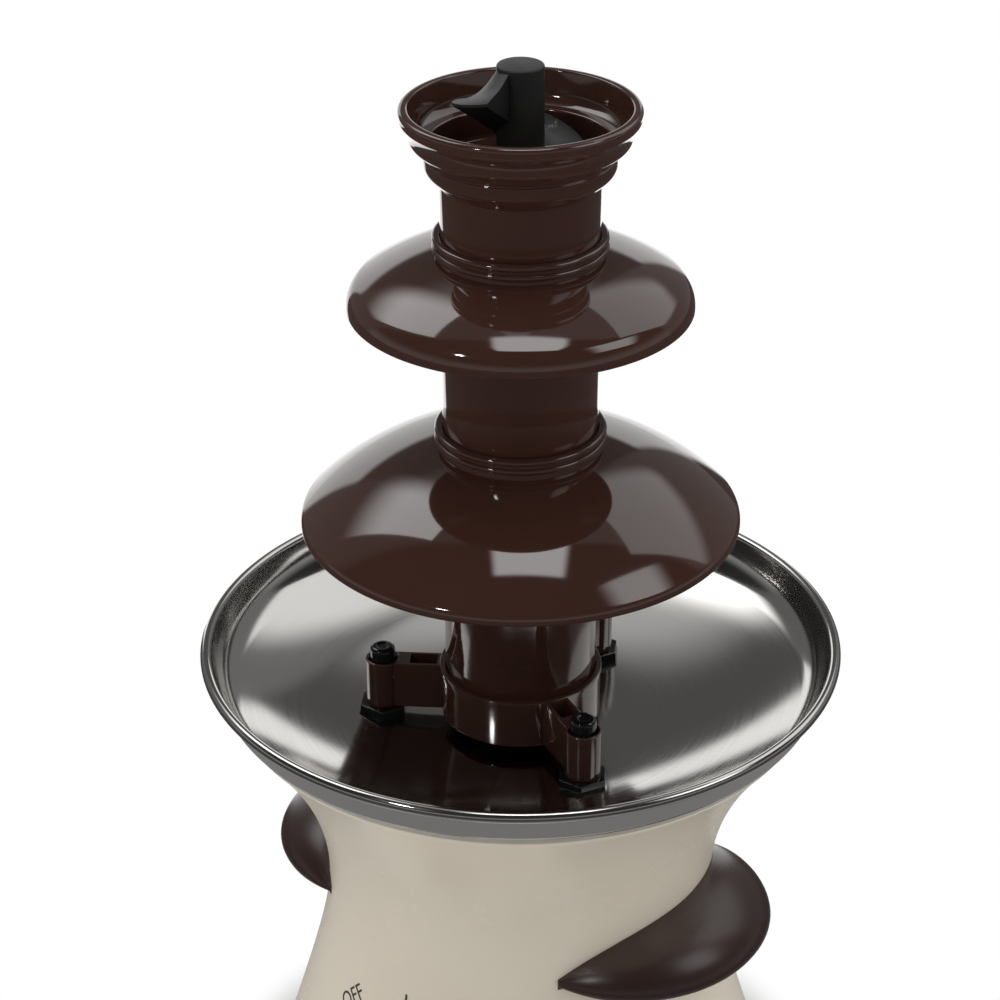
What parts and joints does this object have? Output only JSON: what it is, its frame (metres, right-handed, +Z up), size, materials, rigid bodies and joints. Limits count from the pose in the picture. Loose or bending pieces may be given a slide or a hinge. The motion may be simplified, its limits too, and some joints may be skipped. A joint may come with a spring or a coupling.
{
  "type": "chocolate fountain",
  "caption": "Table-top chocolate fountain: tiered lift-off tower with a turning auger over a heated steel bowl, on a waisted base with side handles and a rotary switch.",
  "frame": {"origin": "on the table, below the middle of the base", "axes": "+Z up along the auger, front with the knob towards -Y, handles at -X and +X"},
  "size_m": [0.21, 0.21, 0.3883],
  "materials": {
    "cream_plastic": "moulded cream, glossy",
    "cocoa_plastic": "moulded dark brown, high gloss",
    "handle_plastic": "moulded dark brown, satin",
    "stainless": "polished inside, softly brushed",
    "black_plastic": "moulded black, matte",
    "black_gloss": "moulded black, glossy",
    "white_plastic": "moulded natural white",
    "rubber": "matte rubber",
    "silicone": "translucent grey silicone",
    "steel": "bright turned steel",
    "zinc": "zinc plated",
    "lamination": "stamped electrical steel",
    "aluminium": "cast aluminium",
    "brass": "turned",
    "copper": "enamelled copper winding"
  },
  "bodies": {
    "base": {"base_shell": "cream_plastic", "bottom_cover": "handle_plastic", "cover_screws": "zinc", "feet": "rubber", "cord_gland": "rubber", "terminal_block": "white_plastic", "handle_right": "handle_plastic", "handle_left": "handle_plastic", "handle_screws": "zinc", "rotary_switch": "black_plastic", "switch_nut": "zinc", "bowl": "stainless", "bowl_gasket": "silicone", "locating_pins": "black_gloss", "pin_seals": "silicone", "standoffs": "zinc", "standoff_screws": "zinc", "shaft_bush": "white_plastic", "bush_nut": "brass", "shaft_seal": "rubber", "heater_plate": "aluminium", "heating_element": "steel", "thermostat": "black_plastic", "motor_bracket": "zinc", "bracket_screws": "zinc", "gear_plate": "zinc", "gear_pillars": "zinc", "shaft_bearings": "brass", "thrust_washer": "brass", "idler_pin": "steel", "motor_core": "lamination", "motor_coil": "copper", "rotor_bridge": "zinc", "motor_spacers": "zinc", "motor_screws": "zinc"},
    "drive": {"drive_shaft": "steel", "output_gear": "white_plastic", "gear_pin": "steel", "shaft_clip": "steel"},
    "auger": {"auger": "black_plastic"},
    "idler": {"idler_gear": "white_plastic"},
    "rotor": {"rotor": "lamination", "rotor_shaft": "steel", "motor_pinion": "brass"},
    "knob": {"control_knob": "cocoa_plastic", "switch_shaft": "steel"},
    "tower": {"tower_foot": "cocoa_plastic", "large_tier": "cocoa_plastic", "medium_tier": "cocoa_plastic", "crown": "cocoa_plastic"}
  },
  "joints": [
    {"name": "rotor_spin", "type": "hinge", "parent": "base", "child": "rotor", "pos_m": [0, 0.018, 0.1], "axis": [0, 0, 1], "continuous": true},
    {"name": "auger_spin", "type": "hinge", "parent": "base", "child": "drive", "pos_m": [0, 0, 0.12], "axis": [0, 0, 1], "continuous": true},
    {"name": "auger_lift", "type": "slide", "parent": "drive", "child": "auger", "axis": [0, 0, 1], "range_m": [0, 0.24]},
    {"name": "idler_spin", "type": "hinge", "parent": "base", "child": "idler", "pos_m": [-0.024, 0.018, 0.12], "axis": [0, 0, 1], "continuous": true},
    {"name": "knob_turn", "type": "hinge", "parent": "base", "child": "knob", "pos_m": [0, -0.076, 0.051], "axis": [0, 0.9591, -0.283], "range_deg": [0, 90]},
    {"name": "tower_lift", "type": "slide", "parent": "base", "child": "tower", "axis": [0, 0, 1], "range_m": [0, 0.23]}
  ],
  "couplings": [
    {"joint": "idler_spin", "follows": "rotor_spin", "ratio": -0.2},
    {"joint": "auger_spin", "follows": "rotor_spin", "ratio": 0.05}
  ]
}
